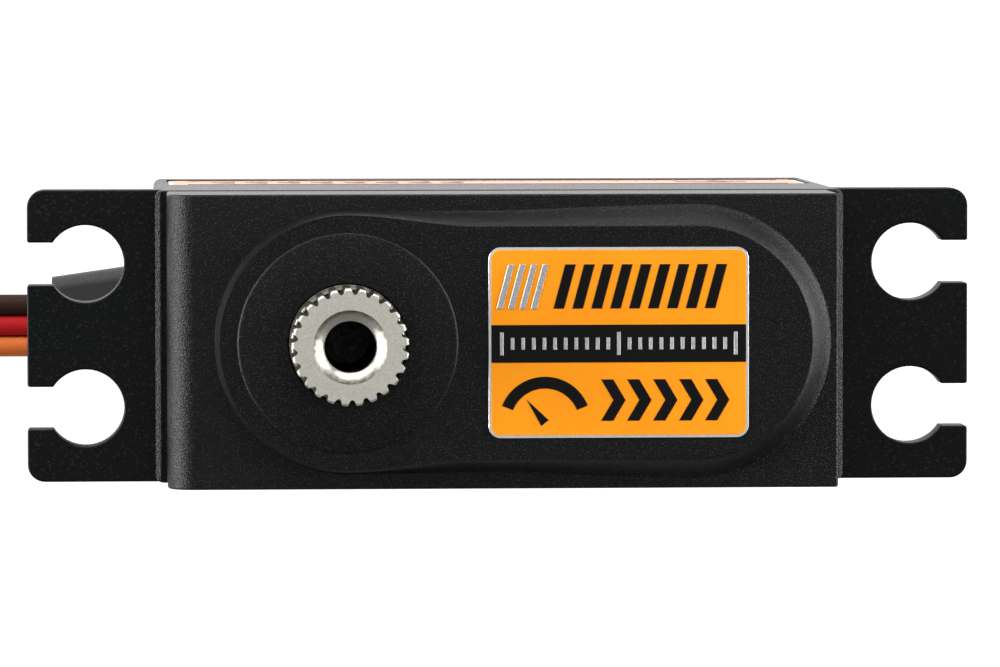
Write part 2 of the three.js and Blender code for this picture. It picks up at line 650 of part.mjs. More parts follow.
// ---------- lead: grommet, wires, hank, plug ----------
// An eight-sided ribbon section: a flat strip with its corners taken off, turned by roll about the heading.
function ribbonRing(centre, heading, roll, halfWide, halfThick) {
  const across = new THREE.Vector3(-heading.y, heading.x, 0).normalize();
  const up = new THREE.Vector3().crossVectors(heading, across).normalize();
  const wide = across.clone().multiplyScalar(Math.cos(roll)).addScaledVector(up, Math.sin(roll));
  const thick = across.clone().multiplyScalar(-Math.sin(roll)).addScaledVector(up, Math.cos(roll));
  const clip = halfThick * 0.55;
  const outline = [];
  for (const [a, b] of [
    [1, 1],
    [-1, 1],
    [-1, -1],
    [1, -1],
  ]) {
    const wideFirst = [a * (halfWide - clip), b * halfThick];
    const thickFirst = [a * halfWide, b * (halfThick - clip)];
    outline.push(...(a * b > 0 ? [thickFirst, wideFirst] : [wideFirst, thickFirst]));
  }
  return outline.map(([w, t]) => centre.clone().addScaledVector(wide, w).addScaledVector(thick, t));
}

function ribbon(points, rolls, halfWide, halfThick) {
  const rings = points.map((point, i) => {
    const before = points[Math.max(0, i - 1)];
    const after = points[Math.min(points.length - 1, i + 1)];
    return ribbonRing(point, after.clone().sub(before).normalize(), rolls[i], halfWide, halfThick);
  });
  return loft(rings);
}

// The grommet: a flange inside the wall, a neck in the wall's notch and a tapering strain relief outside.
function grommet() {
  const section = (x, [y0, y1], z0, z1) =>
    roundedRect(-y1, -y0, z0, z1, 0.7)
      .getPoints(4)
      .slice(0, -1)
      .map((p) => new THREE.Vector3(x, GROMMET.y - p.x, p.y));
  const wallOut = -CASE.halfX - 0.05;
  const wallIn = -CASE.halfX + CASE.wall + 0.05;
  const taper = loft([
    section(wallOut, GROMMET.wallSpan, 2.6, 5.8),
    section(wallOut - 1.2, GROMMET.wallSpan, 2.6, 5.8),
    section(GROMMET.tipX, GROMMET.tipSpan, 2.8, 5.6),
  ]);
  const gap = 0.05;
  const { y, neckTop } = GROMMET;
  const neckHalf = GROMMET.neckHalfY - gap;
  const neckX = [wallOut - 0.2, wallIn + 0.2];
  const neck = box(...neckX, y - neckHalf, y + neckHalf, Z.coverTop + gap, neckTop - gap);
  const collar = box(wallIn, wallIn + 0.9, y - 2.8, y + 2.8, BOARD.top + gap, 5.6);
  const slotY = 1.5 * WIRE + 0.07;
  const slotZ = 0.5 * WIRE + 0.06;
  return cut(join(taper, neck, collar), box(-30, -10, y - slotY, y + slotY, LEAD_Z - slotZ, LEAD_Z + slotZ));
}
add('lead_grommet', grommet(), rubberBlack);

[
  ['ground_tail', wireBrown, LEAD_Y + WIRE],
  ['power_tail', wireRed, LEAD_Y],
  ['signal_tail', wireOrange, LEAD_Y - WIRE],
].forEach(([name, material, y]) => {
  const r = WIRE / 2 - 0.02;
  const from = GROMMET.tipX;
  const to = -11.7; // inside, over the board
  const tail = new THREE.CylinderGeometry(r, r, to - from, 12).rotateZ(Math.PI / 2);
  add(name, tail, material, (from + to) / 2, y, LEAD_Z);
});

// The run from the grommet to the hank: it drops to the surface and rolls on to its edge.
const outerR = HANK.endR + (HANK.halfTurns / 2) * HANK.pitch;
const edgeZ = TIE_THICKNESS + 1.5 * WIRE;
const hankLow = -outerR - WIRE / 2;
const hankHigh = outerR - HANK.pitch / 2 + WIRE / 2;
function leadRun() {
  const x0 = GROMMET.tipX - 0.3;
  const bendX = -26.4;
  const steps = 12;
  const points = [];
  const rolls = [];
  for (let i = 0; i <= steps; i += 1) {
    const x = x0 + (i / steps) * (HANK.joinX + 0.3 - x0);
    const down = smooth(THREE.MathUtils.clamp((bendX - x) / 9.5, 0, 1));
    const over = smooth(THREE.MathUtils.clamp((bendX - x) / (bendX - HANK.nearX), 0, 1));
    points.push(new THREE.Vector3(x, LEAD_Y - over * (outerR + LEAD_Y), LEAD_Z + down * (edgeZ - LEAD_Z)));
    rolls.push((down * Math.PI) / 2);
  }
  return ribbon(points, rolls, 1.5 * WIRE, WIRE / 2);
}
add('lead_run', leadRun(), wireRed);

function leadHank() {
  const { nearX, farX, joinX } = HANK;
  const nearR = hankHigh - HANK.pitch / 4;
  const nearY = hankHigh - nearR;
  const start = -Math.acos((joinX - nearX) / nearR);
  const shape = new THREE.Shape();
  shape.moveTo(farX, hankLow);
  shape.lineTo(joinX, hankLow);
  shape.absarc(nearX, nearY, nearR, start, Math.PI / 2);
  shape.absarc(farX, (hankLow + hankHigh) / 2, (hankHigh - hankLow) / 2, Math.PI / 2, 1.5 * Math.PI);
  return plate(shape, TIE_THICKNESS, TIE_THICKNESS + 3 * WIRE, 12);
}
add('lead_hank', leadHank(), wireRed);

const plugZ = (PLUG.z0 + PLUG.z1) / 2;
const leadEndPoints = [
  new THREE.Vector3(-56.4, 0.9, 4.55),
  new THREE.Vector3(-54.8, 0.35, 4.85),
  new THREE.Vector3(PLUG.x0 - 0.3, 0, plugZ),
];
add('lead_end', ribbon(leadEndPoints, [0, 0, 0], 1.5 * WIRE, WIRE / 2), wireOrange);

// The tie goes round the hank and the plug that lies on it.
function tieLoop() {
  const t = TIE_THICKNESS;
  const lowY = hankLow - 0.1;
  const highY = hankHigh + 0.1;
  const hankTop = t + 3 * WIRE;
  const plugY = PLUG.halfY + 0.1;
  const top = PLUG.z1 + 0.05;
  const loop = (grow) =>
    [
      [lowY - grow, t - grow],
      [highY + grow, t - grow],
      [highY + grow, hankTop + grow * 0.4],
      [plugY + grow * 0.6, top + grow],
      [-plugY - grow * 0.6, top + grow],
      [lowY - grow, hankTop + grow * 0.4],
    ].map(([y, z]) => new THREE.Vector2(y, z));
  const shape = new THREE.Shape(loop(t));
  shape.holes.push(new THREE.Path(loop(0)));
  return plate(shape, -47.6, -45.4).rotateX(Math.PI / 2).rotateZ(Math.PI / 2);
}
add('lead_tie', tieLoop(), rubberBlack);

function plugHousing() {
  const body = roundedRect(-PLUG.halfY, PLUG.halfY, PLUG.z0, PLUG.z1, 0.35);
  const block = plate(body, PLUG.x0, PLUG.x1, 2).rotateX(Math.PI / 2).rotateZ(Math.PI / 2);
  const ways = [-1, 0, 1].map((i) => {
    const y = i * PLUG.pitch;
    return box(PLUG.x0 - 1, PLUG.x1 + 1, y - 0.9, y + 0.9, plugZ - 0.75, plugZ + 0.75);
  });
  return cut(block, ...ways);
}
add('plug_housing', plugHousing(), plugBlack);
[-1, 0, 1].forEach((i) => {
  const contact = cut(box(-5, 5, -0.7, 0.7, -0.55, 0.55), box(0, 6, -0.35, 0.35, -0.3, 0.3));
  add(`plug_contact_${i + 2}`, contact, tin, -44.6, i * PLUG.pitch, plugZ);
});

export default group;
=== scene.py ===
"""Mini servo motor with a splined output shaft: the looks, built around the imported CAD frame.

Shapes are in millimetres until raw_object() and add_wire() turn them into metres. The camera and the lights
are in metres. +Z is up, -X is the output shaft's end, where the lead leaves, and the side label is on the +Y
wall.
"""

import json
import math

import bmesh
import bpy
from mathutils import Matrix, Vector


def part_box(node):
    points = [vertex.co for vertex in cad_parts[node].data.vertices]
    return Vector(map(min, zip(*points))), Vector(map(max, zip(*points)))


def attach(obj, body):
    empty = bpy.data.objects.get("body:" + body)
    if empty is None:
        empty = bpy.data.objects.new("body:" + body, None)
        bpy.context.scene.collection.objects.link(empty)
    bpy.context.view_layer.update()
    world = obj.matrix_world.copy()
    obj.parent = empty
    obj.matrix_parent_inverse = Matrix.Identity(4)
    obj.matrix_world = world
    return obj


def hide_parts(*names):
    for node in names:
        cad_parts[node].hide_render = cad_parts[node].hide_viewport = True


MM = 0.001
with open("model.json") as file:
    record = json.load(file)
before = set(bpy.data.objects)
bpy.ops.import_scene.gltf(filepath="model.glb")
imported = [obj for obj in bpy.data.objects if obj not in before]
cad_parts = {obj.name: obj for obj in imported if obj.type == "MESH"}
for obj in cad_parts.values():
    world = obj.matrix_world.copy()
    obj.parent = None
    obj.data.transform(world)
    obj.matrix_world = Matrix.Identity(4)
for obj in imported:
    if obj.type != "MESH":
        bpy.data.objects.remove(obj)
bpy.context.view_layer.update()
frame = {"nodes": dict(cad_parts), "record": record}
nodes = frame["nodes"]

# ---------- sizes, as in the CAD ----------
CASE = {"x": 17.8, "y": 7.55, "corner": 0.4}
TOP = {"x0": -17.2, "x1": 16.95, "y": 7.5, "fillet": 1.4}
COVER_TOP, SEAM, TOP_FACE, PLATFORM_Z = 2.4, 21.4, 27.2, 28.5
FLANGE = {"tip": 24.4, "low": 18.4, "top": 20.4, "hole_x": 21.4, "hole_y": 3.73, "hole_r": 2.0, "mouth": 2.2}
SHAFT_X = -8.1
SPLINE = {"teeth": 25, "tip": 2.96, "root": 2.64, "turn": 5.6, "low": 28.9, "top": 32.3}
POST = {"x": 15.1, "y": 5.5}
PAD = {"x": 9.5, "y": 5.2}
WALL = 0.9
LABEL = {"x": 5.62, "half_x": 6.6, "half_y": 4.83, "corner": 0.6, "rim": 0.13}
SIDE_LABEL = {"half_x": 17.0, "low": 2.8, "high": 11.4, "corner": 1.0, "depth": 0.1, "rim": 0.25}
WIRE_D = 1.12
LEAD_Y, LEAD_Z = -0.25, 4.2
GROMMET = {"tip_x": -23.3, "half_y": 2.25, "neck_top": 5.25}
TIE = {"x": -46.5, "thick": 0.3, "half": 1.1, "slack": 0.08}
HANK = {"near": -43.5, "far": -61.5, "end_r": 3.5, "pitch": 1.15, "half_turns": 5, "join": -41.3}
HANK_R = HANK["end_r"] + HANK["half_turns"] / 2 * HANK["pitch"]
PLUG = {"x0": -52.3, "x1": -38.3, "half_y": 3.85, "z0": 3.75, "z1": 6.35, "pitch": 2.54}
PLUG_Z = (PLUG["z0"] + PLUG["z1"]) / 2

# ---------- sizes used only here ----------
SKIN = 0.45  # how much of a wall's outside belongs to the new skin, while the CAD shapes the rest
BEYOND = 1  # how far a cutting tool sticks out of what it cuts
DOUBLED = 1e-7  # metres: points closer than this are one point
CAMERA = {
    "lens": 239.1,
    "place": (-0.0190, 0.0178, 0.3636),
    "degrees": (-2.952, -3.179, -0.051),
}


# ---------- camera ----------
def add_camera():
    """Looks down on the servo, a little from the +Y and -X side."""
    data = bpy.data.cameras.new("camera")
    data.sensor_width = 36
    data.lens = CAMERA["lens"]
    data.clip_start, data.clip_end = 0.01, 20
    camera = bpy.data.objects.new("camera", data)
    camera.location = CAMERA["place"]
    camera.rotation_euler = [math.radians(a) for a in CAMERA["degrees"]]
    bpy.context.scene.collection.objects.link(camera)
    bpy.context.scene.camera = camera


add_camera()


# ---------- materials ----------
class Nodes:
    """A material's node tree, with the shader already in place."""

    def __init__(self, name, color, roughness, metallic=0.0, **sockets):
        self.material = bpy.data.materials.new(name)
        self.material.use_nodes = True
        self.tree = self.material.node_tree
        self.shader = self.tree.nodes["Principled BSDF"]
        values = {"Base Color": (*color, 1), "Roughness": roughness, "Metallic": metallic, **sockets}
        for socket, value in values.items():
            self.shader.inputs[socket].default_value = value
        self.place = self.add("ShaderNodeTexCoord").outputs["Object"]

    def add(self, kind, **inputs):
        """A new node. An input's name has _ for each space."""
        node = self.tree.nodes.new(kind)
        for socket, value in inputs.items():
            self.set(node.inputs[socket.replace("_", " ")], value)
        return node

    def set(self, socket, value):
        if isinstance(value, bpy.types.NodeSocket):
            self.tree.links.new(value, socket)
        else:
            socket.default_value = value

    def stretched(self, x, y, z):
        return self.add("ShaderNodeMapping", Vector=self.place, Scale=(x, y, z)).outputs["Vector"]

    def noise(self, size_mm, detail=2.0, vector=None):
        scale = 1 / (size_mm * MM)
        node = self.add("ShaderNodeTexNoise", Vector=vector or self.place, Scale=scale, Detail=detail)
        return node.outputs["Fac"]

    def between(self, factor, low, high, from_min=0.3, from_max=0.7):
        """Maps a factor onto low to high. Noise lies mostly between 0.3 and 0.7."""
        node = self.add("ShaderNodeMapRange", Value=factor)
        for key, value in (("From Min", from_min), ("From Max", from_max), ("To Min", low), ("To Max", high)):
            node.inputs[key].default_value = value
        return node.outputs["Result"]

    def mix(self, factor, a, b):
        node = self.tree.nodes.new("ShaderNodeMix")
        node.data_type = "RGBA"
        self.set(node.inputs[0], factor)
        self.set(node.inputs[6], (*a, 1) if isinstance(a, tuple) else a)
        self.set(node.inputs[7], (*b, 1) if isinstance(b, tuple) else b)
        return node.outputs[2]

    def wire(self, socket, value):
        self.set(self.shader.inputs[socket], value)

    def bump(self, height, depth_mm):
        node = self.add("ShaderNodeBump", Height=height, Strength=1.0, Distance=depth_mm * MM)
        self.wire("Normal", node.outputs["Normal"])


def nylon(name, dark, light, rough, grain_mm, depth_mm, glint_brightness, specular):
    """Black glass-filled nylon: a fine spark-eroded grain. Painted glints: small bright spots mixed into the
    colour stand in for the sparkle of the grain.
    """
    m = Nodes(name, dark, rough, **{"Specular IOR Level": specular})
    grain = m.noise(grain_mm, 3.0)
    color = m.mix(m.between(grain, 0.0, 1.0), dark, light)
    # painted glints: bright spots in the colour stand in for the grain's sparkle
    glint_noise = m.noise(grain_mm * 1.1, 0.0, m.stretched(1.0, 1.1, 1.2))
    painted_glints = m.between(glint_noise, 0.0, 1.0, from_min=0.64, from_max=0.74)
    color = m.mix(painted_glints, color, (glint_brightness, glint_brightness, glint_brightness))
    m.wire("Base Color", color)
    m.wire("Roughness", m.between(m.noise(grain_mm * 2.0), rough - 0.02, rough + 0.03))
    m.bump(grain, depth_mm)
    return m.material


def metal(name, color, worn, rough, grain_mm, depth_mm, stretch=None):
    """Metal with fine tool marks, drawn out along an axis where stretch scales the others up."""
    m = Nodes(name, color, rough, 1.0)
    streaks = m.noise(grain_mm, 4.0, m.stretched(*stretch) if stretch else None)
    m.wire("Base Color", m.mix(m.between(streaks, 0.0, 1.0), worn, color))
    m.wire("Roughness", m.between(m.noise(grain_mm * 1.7, 3.0), rough - 0.08, rough + 0.1))
    m.bump(streaks, depth_mm)
    return m.material


def plastic(name, color, shade, rough, coat=0.0, size_mm=1.2, depth_mm=0.003, specular=0.5):
    """Plastic, rubber or print that drifts between two near colours over size_mm."""
    sockets = {"Coat Weight": coat, "Coat Roughness": 0.08, "Specular IOR Level": specular}
    m = Nodes(name, color, rough, **sockets)
    m.wire("Base Color", m.mix(m.between(m.noise(size_mm, 3.0), 0.0, 1.0), shade, color))
    m.wire("Roughness", m.between(m.noise(size_mm * 0.4), rough - 0.04, rough + 0.05))
    m.bump(m.noise(size_mm * 0.12, 2.0), depth_mm)
    return m.material


case_grain = nylon(
    "case_grain", (0.002, 0.0023, 0.0023), (0.0042, 0.0047, 0.0046), 0.32, 0.08, 0.05, 0.03, 0.2
)
case_flange = nylon(
    "case_flange", (0.002, 0.0024, 0.0024), (0.0034, 0.0038, 0.0038), 0.4, 0.12, 0.008, 0.012, 0.12
)
case_smooth = nylon(
    "case_smooth", (0.002, 0.0024, 0.0023), (0.004, 0.0045, 0.0044), 0.34, 0.07, 0.035, 0.03, 0.17
)
shaft_metal = metal("shaft_metal", (0.74, 0.72, 0.63), (0.6, 0.585, 0.51), 0.36, 0.12, 0.006)
# painted shade: darker copies of the shaft's metal for the spline's upright faces, the gaps between its teeth
# and the threaded bore
shaded_flank_metal = metal("shaded_flank_metal", (0.12, 0.112, 0.095), (0.045, 0.042, 0.036), 0.5, 0.1, 0.01)
shaded_bore_metal = metal("shaded_bore_metal", (0.03, 0.028, 0.027), (0.012, 0.011, 0.011), 0.45, 0.2, 0.004)
foil = metal("foil", (0.86, 0.86, 0.86), (0.7, 0.7, 0.7), 0.4, 0.12, 0.003)
print_orange = plastic(
    "print_orange", (1.0, 0.335, 0.012), (0.96, 0.31, 0.01), 0.5, 0.0, 2.0, 0.001, 0.08
)
print_black = plastic(
    "print_black", (0.0035, 0.0035, 0.003), (0.005, 0.005, 0.0045), 0.5, 0.0, 2.0, 0.001, 0.1
)
print_silver = metal("print_silver", (0.72, 0.72, 0.73), (0.4, 0.4, 0.41), 0.4, 0.06, 0.008)
# painted shade: the side label's orange is darker than the top label's orange, to hold back the key light
# that falls on the +Y wall
shaded_side_orange = plastic(
    "shaded_side_orange", (0.6, 0.15, 0.008), (0.57, 0.14, 0.007), 0.4, 0.4, 2.0, 0.0, 0.3
)
side_black = plastic(
    "side_black", (0.02, 0.02, 0.02), (0.025, 0.025, 0.024), 0.4, 0.35, 2.0, 0.0, 0.3
)
rubber = plastic("rubber", (0.012, 0.012, 0.0125), (0.018, 0.018, 0.018), 0.62, 0.0, 0.8, 0.012)
wire_brown = plastic(
    "wire_brown", (0.03, 0.0115, 0.007), (0.022, 0.008, 0.005), 0.6, 0.0, 3.0, 0.002, 0.15
)
wire_red = plastic(
    "wire_red", (0.42, 0.007, 0.009), (0.34, 0.006, 0.008), 0.6, 0.0, 3.0, 0.002, 0.15
)
wire_orange = plastic(
    "wire_orange", (0.64, 0.15, 0.033), (0.55, 0.125, 0.027), 0.6, 0.0, 3.0, 0.002, 0.15
)
plug_black = plastic("plug_black", (0.012, 0.012, 0.0125), (0.02, 0.02, 0.02), 0.45, 0.0, 0.6, 0.01)

SLOT_MATERIALS = {
    "case_nylon": case_grain,
    "nickel_steel": shaft_metal,
    "label": print_orange,
    "rubber": rubber,
    "wire_brown": wire_brown,
    "wire_red": wire_red,
    "wire_orange": wire_orange,
    "plug": plug_black,
    "screw_steel": metal("screw_steel", (0.05, 0.05, 0.053), (0.09, 0.09, 0.092), 0.38, 0.3, 0.004),
    "bright_steel": metal("bright_steel", (0.62, 0.62, 0.63), (0.5, 0.5, 0.51), 0.25, 0.3, 0.003, (1, 1, 12)),
    "gear_brass": metal("gear_brass", (0.66, 0.47, 0.17), (0.5, 0.34, 0.12), 0.3, 0.2, 0.004),
    "can_steel": metal("can_steel", (0.44, 0.45, 0.46), (0.34, 0.35, 0.36), 0.32, 0.5, 0.003, (1, 1, 0.1)),
    "copper": metal("copper", (0.62, 0.22, 0.09), (0.44, 0.14, 0.06), 0.35, 0.15, 0.006, (1, 1, 9)),
    "magnet": plastic("magnet", (0.06, 0.06, 0.065), (0.04, 0.04, 0.045), 0.5, 0.0, 0.4, 0.008),
    "cream_plastic": plastic("cream_plastic", (0.62, 0.56, 0.42), (0.54, 0.48, 0.36), 0.45),
    "board": plastic("board", (0.015, 0.13, 0.05), (0.01, 0.09, 0.035), 0.35, 0.3, 0.9, 0.004),
    "chip": plastic("chip", (0.014, 0.014, 0.015), (0.024, 0.024, 0.025), 0.5, 0.0, 0.5, 0.006),
    "tantalum": plastic("tantalum", (0.66, 0.3, 0.03), (0.56, 0.24, 0.025), 0.4, 0.0, 0.5, 0.004),
    "tinned": metal("tinned", (0.6, 0.6, 0.58), (0.46, 0.46, 0.45), 0.34, 0.3, 0.004),
}
for part in frame["record"]["subparts"]:
    data = nodes[part["node"]].data
    data.materials.clear()
    data.materials.append(SLOT_MATERIALS[part["material_slot"]])


# ---------- mesh helpers ----------
def raw_object(name, points, faces, materials=()):
    """A new mesh object, in metres, from points in millimetres."""
    mesh = bpy.data.meshes.new(name)
    mesh.from_pydata([[v * MM for v in p] for p in points], [], faces)
    for m in materials:
        mesh.materials.append(m)
    obj = bpy.data.objects.new(name, mesh)
    bpy.context.scene.collection.objects.link(obj)
    return obj


def tidy_mesh(obj, angle=32):
    """Joins doubled points, turns faces outwards, and shades smoothly except across sharp edges."""
    bm = bmesh.new()
    bm.from_mesh(obj.data)
    bmesh.ops.remove_doubles(bm, verts=bm.verts, dist=DOUBLED)
    bmesh.ops.dissolve_degenerate(bm, edges=bm.edges, dist=DOUBLED)
    bmesh.ops.recalc_face_normals(bm, faces=bm.faces)
    for face in bm.faces:
        face.smooth = True
    for edge in bm.edges:
        edge.smooth = len(edge.link_faces) == 2 and edge.calc_face_angle(0) < math.radians(angle)
    bm.to_mesh(obj.data)
    bm.free()


def drop_slivers(obj, fewest=4):
    """Removes the stray faces that a cut can leave beside a closed skin: islands of only a few faces."""
    bm = bmesh.new()
    bm.from_mesh(obj.data)
    bmesh.ops.remove_doubles(bm, verts=bm.verts, dist=DOUBLED)
    bmesh.ops.triangulate(bm, faces=[f for f in bm.faces if len(f.verts) > 4])
    seen, stray = set(), []
    for start in bm.faces:
        if start in seen:
            continue
        seen.add(start)
        island = [start]
        for face in island:
            for edge in face.edges:
                for other in edge.link_faces if len(edge.link_faces) == 2 else ():
                    if other not in seen:
                        seen.add(other)
                        island.append(other)
        if len(island) < fewest:
            stray += island
    bmesh.ops.delete(bm, geom=stray, context="FACES")
    bm.to_mesh(obj.data)
    bm.free()


def finish_piece(obj, body, stands_for, angle=32):
    """Shades a piece, lets it ride on a body, and hides the CAD nodes it replaces."""
    tidy_mesh(obj, angle)
    weighted = obj.modifiers.new("weighted_normals", "WEIGHTED_NORMAL")
    weighted.keep_sharp = True
    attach(obj, body)
    if stands_for:
        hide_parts(*stands_for)
    return obj


def combine(base, other, operation):
    """Union, difference or intersection of two closed meshes. The second one is used up."""
    modifier = base.modifiers.new("combine", "BOOLEAN")
    modifier.operation = operation
    modifier.solver = "EXACT"
    modifier.object = other
    modifier.material_mode = "TRANSFER"
    mesh = bpy.data.meshes.new_from_object(base.evaluated_get(bpy.context.evaluated_depsgraph_get()))
    base.modifiers.remove(modifier)
    base.data = mesh
    bpy.data.objects.remove(other)
    return base


def cut(base, *tools):
    """Takes some closed meshes away from another."""
    for tool in tools:
        combine(base, tool, "DIFFERENCE")
    return base


def arc(cx, cy, r, start, end, steps):
    """Points on an arc, angles in degrees."""
    angles = [math.radians(start + (end - start) * i / steps) for i in range(steps + 1)]
    return [(cx + r * math.cos(a), cy + r * math.sin(a)) for a in angles]


def rounded_rect(x0, x1, y0, y1, r, steps):
    """A rectangle with round corners, anticlockwise."""
    return [
        *arc(x1 - r, y0 + r, r, -90, 0, steps),
        *arc(x1 - r, y1 - r, r, 0, 90, steps),
        *arc(x0 + r, y1 - r, r, 90, 180, steps),
        *arc(x0 + r, y0 + r, r, 180, 270, steps),
    ]


def inset(outline, distance):
    """The outline, which runs anticlockwise, moved inwards."""
    sharpest = 0.35  # keeps a point at a sharp corner from moving too far
    moved = []
    count = len(outline)
    for i, (x, y) in enumerate(outline):
        before, after = Vector(outline[i - 1]), Vector(outline[(i + 1) % count])
        a, b = (Vector((x, y)) - before).normalized(), (after - Vector((x, y))).normalized()
        across = Vector((-(a.y + b.y), a.x + b.x)).normalized()
        reach = distance / max(sharpest, across.dot(Vector((-a.y, a.x))))
        moved.append((x + across.x * reach, y + across.y * reach))
    return moved


def loft(name, rings, materials=()):
    """A closed skin through rings of equal length, capped at both ends."""
    count, last = len(rings[0]), len(rings) - 1
    faces = []
    for k in range(last):
        for i in range(count):
            a, b = k * count + i, k * count + (i + 1) % count
            faces.append((a, b, b + count, a + count))
    faces.append(tuple(reversed(range(count))))
    faces.append(tuple(range(last * count, (last + 1) * count)))
    return raw_object(name, [p for ring in rings for p in ring], faces, materials)


def as_drawn(x, y, z):
    return (x, y, z)


def rounded_prism(name, outline, low, high, r_low, r_high, materials, turn=as_drawn, steps=3):
    """An outline drawn out from low to high, with both rims rounded. Turn puts it on another axis."""
    rims = []
    for i in range(steps + 1):
        a = math.radians(90 * i / steps)
        rims.append((r_low * (1 - math.sin(a)), low + r_low * (1 - math.cos(a))))
    for i in range(steps + 1):
        a = math.radians(90 * i / steps)
        rims.append((r_high * (1 - math.cos(a)), high - r_high * (1 - math.sin(a))))
    rings = [[turn(x, y, z) for x, y in inset(outline, d)] for d, z in rims]
    return loft(name, rings, materials)


def block(x0, x1, y0, y1, z0, z1):
    """A plain box, for cutting."""
    outline = [(x0, y0), (x1, y0), (x1, y1), (x0, y1)]
    return loft("tool", [[(x, y, z) for x, y in outline] for z in (z0, z1)])


def lathe(name, cx, cy, profile, steps=96, materials=()):
    """A closed profile of (radius, height) turned about a vertical axis. It may start and end on the axis."""
    on_axis = profile[0][0] == 0
    rings = profile[1:-1] if on_axis else profile
    points, faces = [], []
    for r, z in rings:
        points += [(x, y, z) for x, y in arc(cx, cy, r, 0, 360, steps)[:-1]]
    count = len(rings)
    for k in range(count - 1 if on_axis else count):
        for i in range(steps):
            a, b = k * steps + i, k * steps + (i + 1) % steps
            c, d = ((k + 1) % count) * steps + (i + 1) % steps, ((k + 1) % count) * steps + i
            faces.append((a, b, c, d))
    if on_axis:
        for (r, z), ring in ((profile[0], 0), (profile[-1], count - 1)):
            tip = len(points)
            points.append((cx, cy, z))
            for i in range(steps):
                faces.append((tip, ring * steps + i, ring * steps + (i + 1) % steps))
    obj = raw_object(name, points, faces, materials)
    bm = bmesh.new()
    bm.from_mesh(obj.data)
    bmesh.ops.recalc_face_normals(bm, faces=bm.faces)
    bm.to_mesh(obj.data)
    bm.free()
    return obj


def hollow_of(node, *boxes):
    """The empty space inside a CAD node, within boxes that end inside its walls or just outside it."""
    space = boxes[0]
    for extra in boxes[1:]:
        combine(space, extra, "UNION")
    solid = raw_object("tool", [], [])
    solid.data = nodes[node].data.copy()
    bm = bmesh.new()
    bm.from_mesh(solid.data)
    bmesh.ops.remove_doubles(bm, verts=bm.verts, dist=DOUBLED / 10)
    bm.to_mesh(solid.data)
    bm.free()
    return combine(space, solid, "DIFFERENCE")


def smooth(t):
    """Eases from 0 to 1."""
    t = min(1.0, max(0.0, t))
    return t * t * (3 - 2 * t)


# ---------- lead: three bonded wires ----------
def lead_route():
    """From grommet to plug: the ribbon's centre points, its roll in degrees, and its wires' spacing."""
    lead_steps, run_steps, fold_steps, rise_steps = 30, 8, 20, 14
    on_edge = TIE["thick"] + 1.5 * WIRE_D
    bend_x, twist_run = -26.4, 9.5
    route = []

    # out of the grommet, down to the floor, turning on edge
    start = GROMMET["tip_x"] + 0.4
    for i in range(lead_steps):
        x = start + i / lead_steps * (HANK["join"] - start)
        down = smooth((bend_x - x) / twist_run)
        over = smooth((bend_x - x) / (bend_x - HANK["near"]))
        y = LEAD_Y - over * (HANK_R + LEAD_Y)
        route.append(((x, y, LEAD_Z + down * (on_edge - LEAD_Z)), 90 * down, WIRE_D))

    # the hank's runs and folds
    radius, side = HANK_R, -1
    x_from = HANK["join"]
    for turn in range(HANK["half_turns"]):
        outward = turn % 2 == 0
        x_to, direction = (HANK["far"], -1) if outward else (HANK["near"], 1)
        for i in range(run_steps):
            x = x_from + i / run_steps * (x_to - x_from)
            route.append(((x, side * radius, on_edge), 90, WIRE_D))
        for i in range(fold_steps):
            a = math.pi * i / fold_steps
            r = radius - HANK["pitch"] / 2 * i / fold_steps
            point = (x_to + direction * r * math.sin(a), side * r * math.cos(a), on_edge)
            route.append((point, 90, WIRE_D))
        radius -= HANK["pitch"] / 2
        side = -side
        x_from = x_to

    # up over the hank, lying flat again, and fanned out into the plug
    end = Vector((PLUG["x0"] + 0.5, 0, PLUG_Z))
    over_z = 4.6
    for i in range(rise_steps + 1):
        t = i / rise_steps
        x = x_from + t * (end.x - x_from)
        y = radius * side * (1 - smooth(t / 0.85))
        z = on_edge + smooth(t / 0.6) * (over_z - on_edge) + smooth((t - 0.5) / 0.5) * (end.z - over_z)
        fan = WIRE_D + smooth((t - 0.62) / 0.38) * (PLUG["pitch"] - WIRE_D)
        route.append(((x, y, z), 90 * (1 - smooth(t / 0.55)), fan))
    return route


def add_wire(name, material, place, stands_for, route):
    """One wire of the ribbon: place is -1, 0 or 1 across it."""
    centres = [Vector(p) for p, _, _ in route]
    points = []
    for i, (point, roll, spacing) in enumerate(route):
        heading = (centres[min(i + 1, len(centres) - 1)] - centres[max(i - 1, 0)]).normalized()
        across = Vector((-heading.y, heading.x, 0)).normalized()
        up = heading.cross(across)
        wide = across * math.cos(math.radians(roll)) + up * math.sin(math.radians(roll))
        points.append(Vector(point) + wide * place * spacing)
    curve = bpy.data.curves.new(name, "CURVE")
    curve.dimensions = "3D"
    curve.bevel_depth = WIRE_D / 2 * MM
    curve.bevel_resolution = 3
    curve.use_fill_caps = True
    curve.materials.append(material)
    spline = curve.splines.new("POLY")
    spline.points.add(len(points) - 1)
    for slot, p in zip(spline.points, points):
        slot.co = (p.x * MM, p.y * MM, p.z * MM, 1)
    spline.use_smooth = True
    obj = bpy.data.objects.new(name, curve)
    bpy.context.scene.collection.objects.link(obj)
    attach(obj, "case")
    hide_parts(stands_for)


